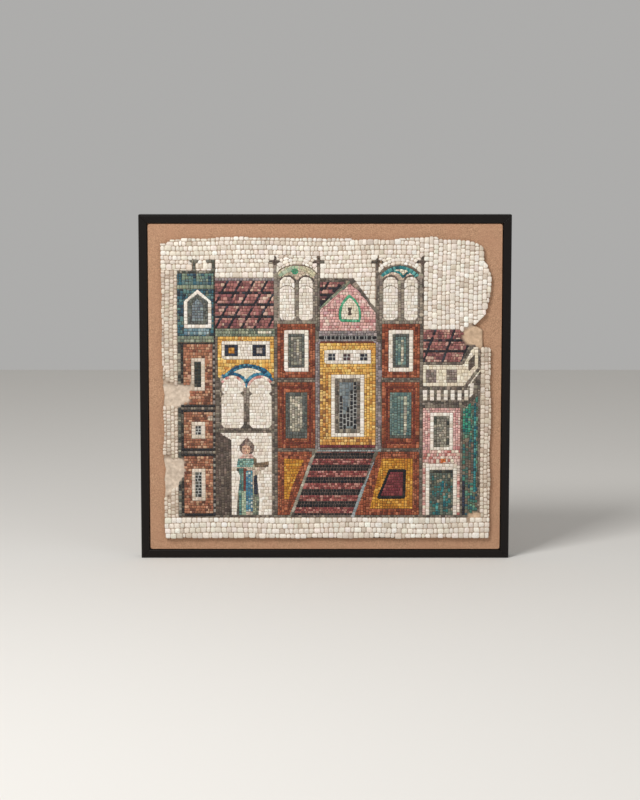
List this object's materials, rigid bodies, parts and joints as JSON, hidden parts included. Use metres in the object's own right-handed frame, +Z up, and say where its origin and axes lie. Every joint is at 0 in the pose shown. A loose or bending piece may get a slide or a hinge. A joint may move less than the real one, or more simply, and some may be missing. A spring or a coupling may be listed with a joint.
{
  "type": "framed wall mosaic panel",
  "caption": "Framed wall mosaic of a row of towers and houses in small stone and glass cubes, on a sanded tan slab in a thin dark frame.",
  "frame": {"origin": "middle of the flat back of the slab, which goes against the wall", "axes": "+Z up, the picture faces -Y, +X to the right as seen from the front"},
  "size_m": [0.64, 0.0378, 0.597],
  "materials": {
    "frame_wood": "dark brown stained wood, satin, with lighter worn arrises",
    "tan_slab": "sanded tan mortar, matt",
    "plaster_bed": "rough cream plaster, matt",
    "white_cubes": "warm white limestone, worn and pillowy",
    "grey_cubes": "grey to lilac grey stone, matt",
    "black_cubes": "black and dark grey stone, matt",
    "blue_cubes": "blue glass paste, weathered satin",
    "purple_brick_cubes": "purple brown stone, matt",
    "brick_cubes": "brick red stone and tile, matt",
    "rose_cubes": "rose red stone crossed by dark lines, matt",
    "yellow_cubes": "ochre yellow stone, matt",
    "ochre_cubes": "dark ochre stone, matt",
    "pale_green_cubes": "pale green glass paste, weathered satin",
    "teal_cubes": "teal glass paste, weathered satin",
    "pane_cubes": "mixed grey stone with light streaks, matt",
    "pink_cubes": "pink marble, matt",
    "cream_cubes": "cream stone with grey lines, matt",
    "robe_cubes": "mixed blue, green and brown cubes of a robed figure",
    "green_cubes": "mixed dark green and teal glass paste, weathered satin"
  },
  "bodies": {
    "root": {"frame_rail_bottom": "frame_wood", "frame_rail_right": "frame_wood", "frame_rail_top": "frame_wood", "frame_rail_left": "frame_wood", "ground_slab": "tan_slab", "setting_bed": "plaster_bed", "white_sky": "white_cubes", "white_left_border": "white_cubes", "white_base_border": "white_cubes", "grey_piers_and_bands": "grey_cubes", "left_tower_lines": "black_cubes", "left_tower_blue_wall": "blue_cubes", "left_tower_pointed_window": "pane_cubes", "left_tower_brick_lower": "purple_brick_cubes", "left_tower_brick_middle": "purple_brick_cubes", "left_tower_brick_upper": "purple_brick_cubes", "left_tower_window_lower": "white_cubes", "left_tower_window_middle": "white_cubes", "left_tower_window_upper": "white_cubes", "arcade_house_roof": "rose_cubes", "arcade_house_wall": "yellow_cubes", "arcade_house_plaque": "white_cubes", "arcade_house_lunette": "blue_cubes", "arcade_opening_left": "white_cubes", "arcade_opening_right": "white_cubes", "doorway_ground": "white_cubes", "doorway_figure": "robe_cubes", "middle_tower_brick_lower": "brick_cubes", "middle_tower_pane_lower": "pane_cubes", "middle_tower_brick_upper": "brick_cubes", "middle_tower_window_upper": "white_cubes", "middle_tower_pane_upper": "pane_cubes", "middle_tower_lunette": "pale_green_cubes", "middle_tower_opening_left": "white_cubes", "middle_tower_opening_right": "white_cubes", "right_tower_brick_lower": "brick_cubes", "right_tower_pane_lower": "pane_cubes", "right_tower_brick_upper": "brick_cubes", "right_tower_window_upper": "white_cubes", "right_tower_pane_upper": "pane_cubes", "right_tower_lunette": "teal_cubes", "right_tower_opening_left": "white_cubes", "right_tower_opening_right": "white_cubes", "gabled_house_roof": "rose_cubes", "gabled_house_gable": "pink_cubes", "gabled_house_wall": "yellow_cubes", "gabled_house_plaque": "white_cubes", "gabled_house_door_surround": "white_cubes", "gabled_house_door_panel": "pane_cubes", "left_ramp": "ochre_cubes", "stair_flight": "rose_cubes", "right_ramp": "brick_cubes", "right_ramp_panel": "ochre_cubes", "right_house_wall": "pink_cubes", "right_house_window": "pane_cubes", "right_house_door": "green_cubes", "right_house_side_wall": "green_cubes", "right_house_attic": "cream_cubes", "right_house_roof": "rose_cubes"}
  },
  "joints": []
}
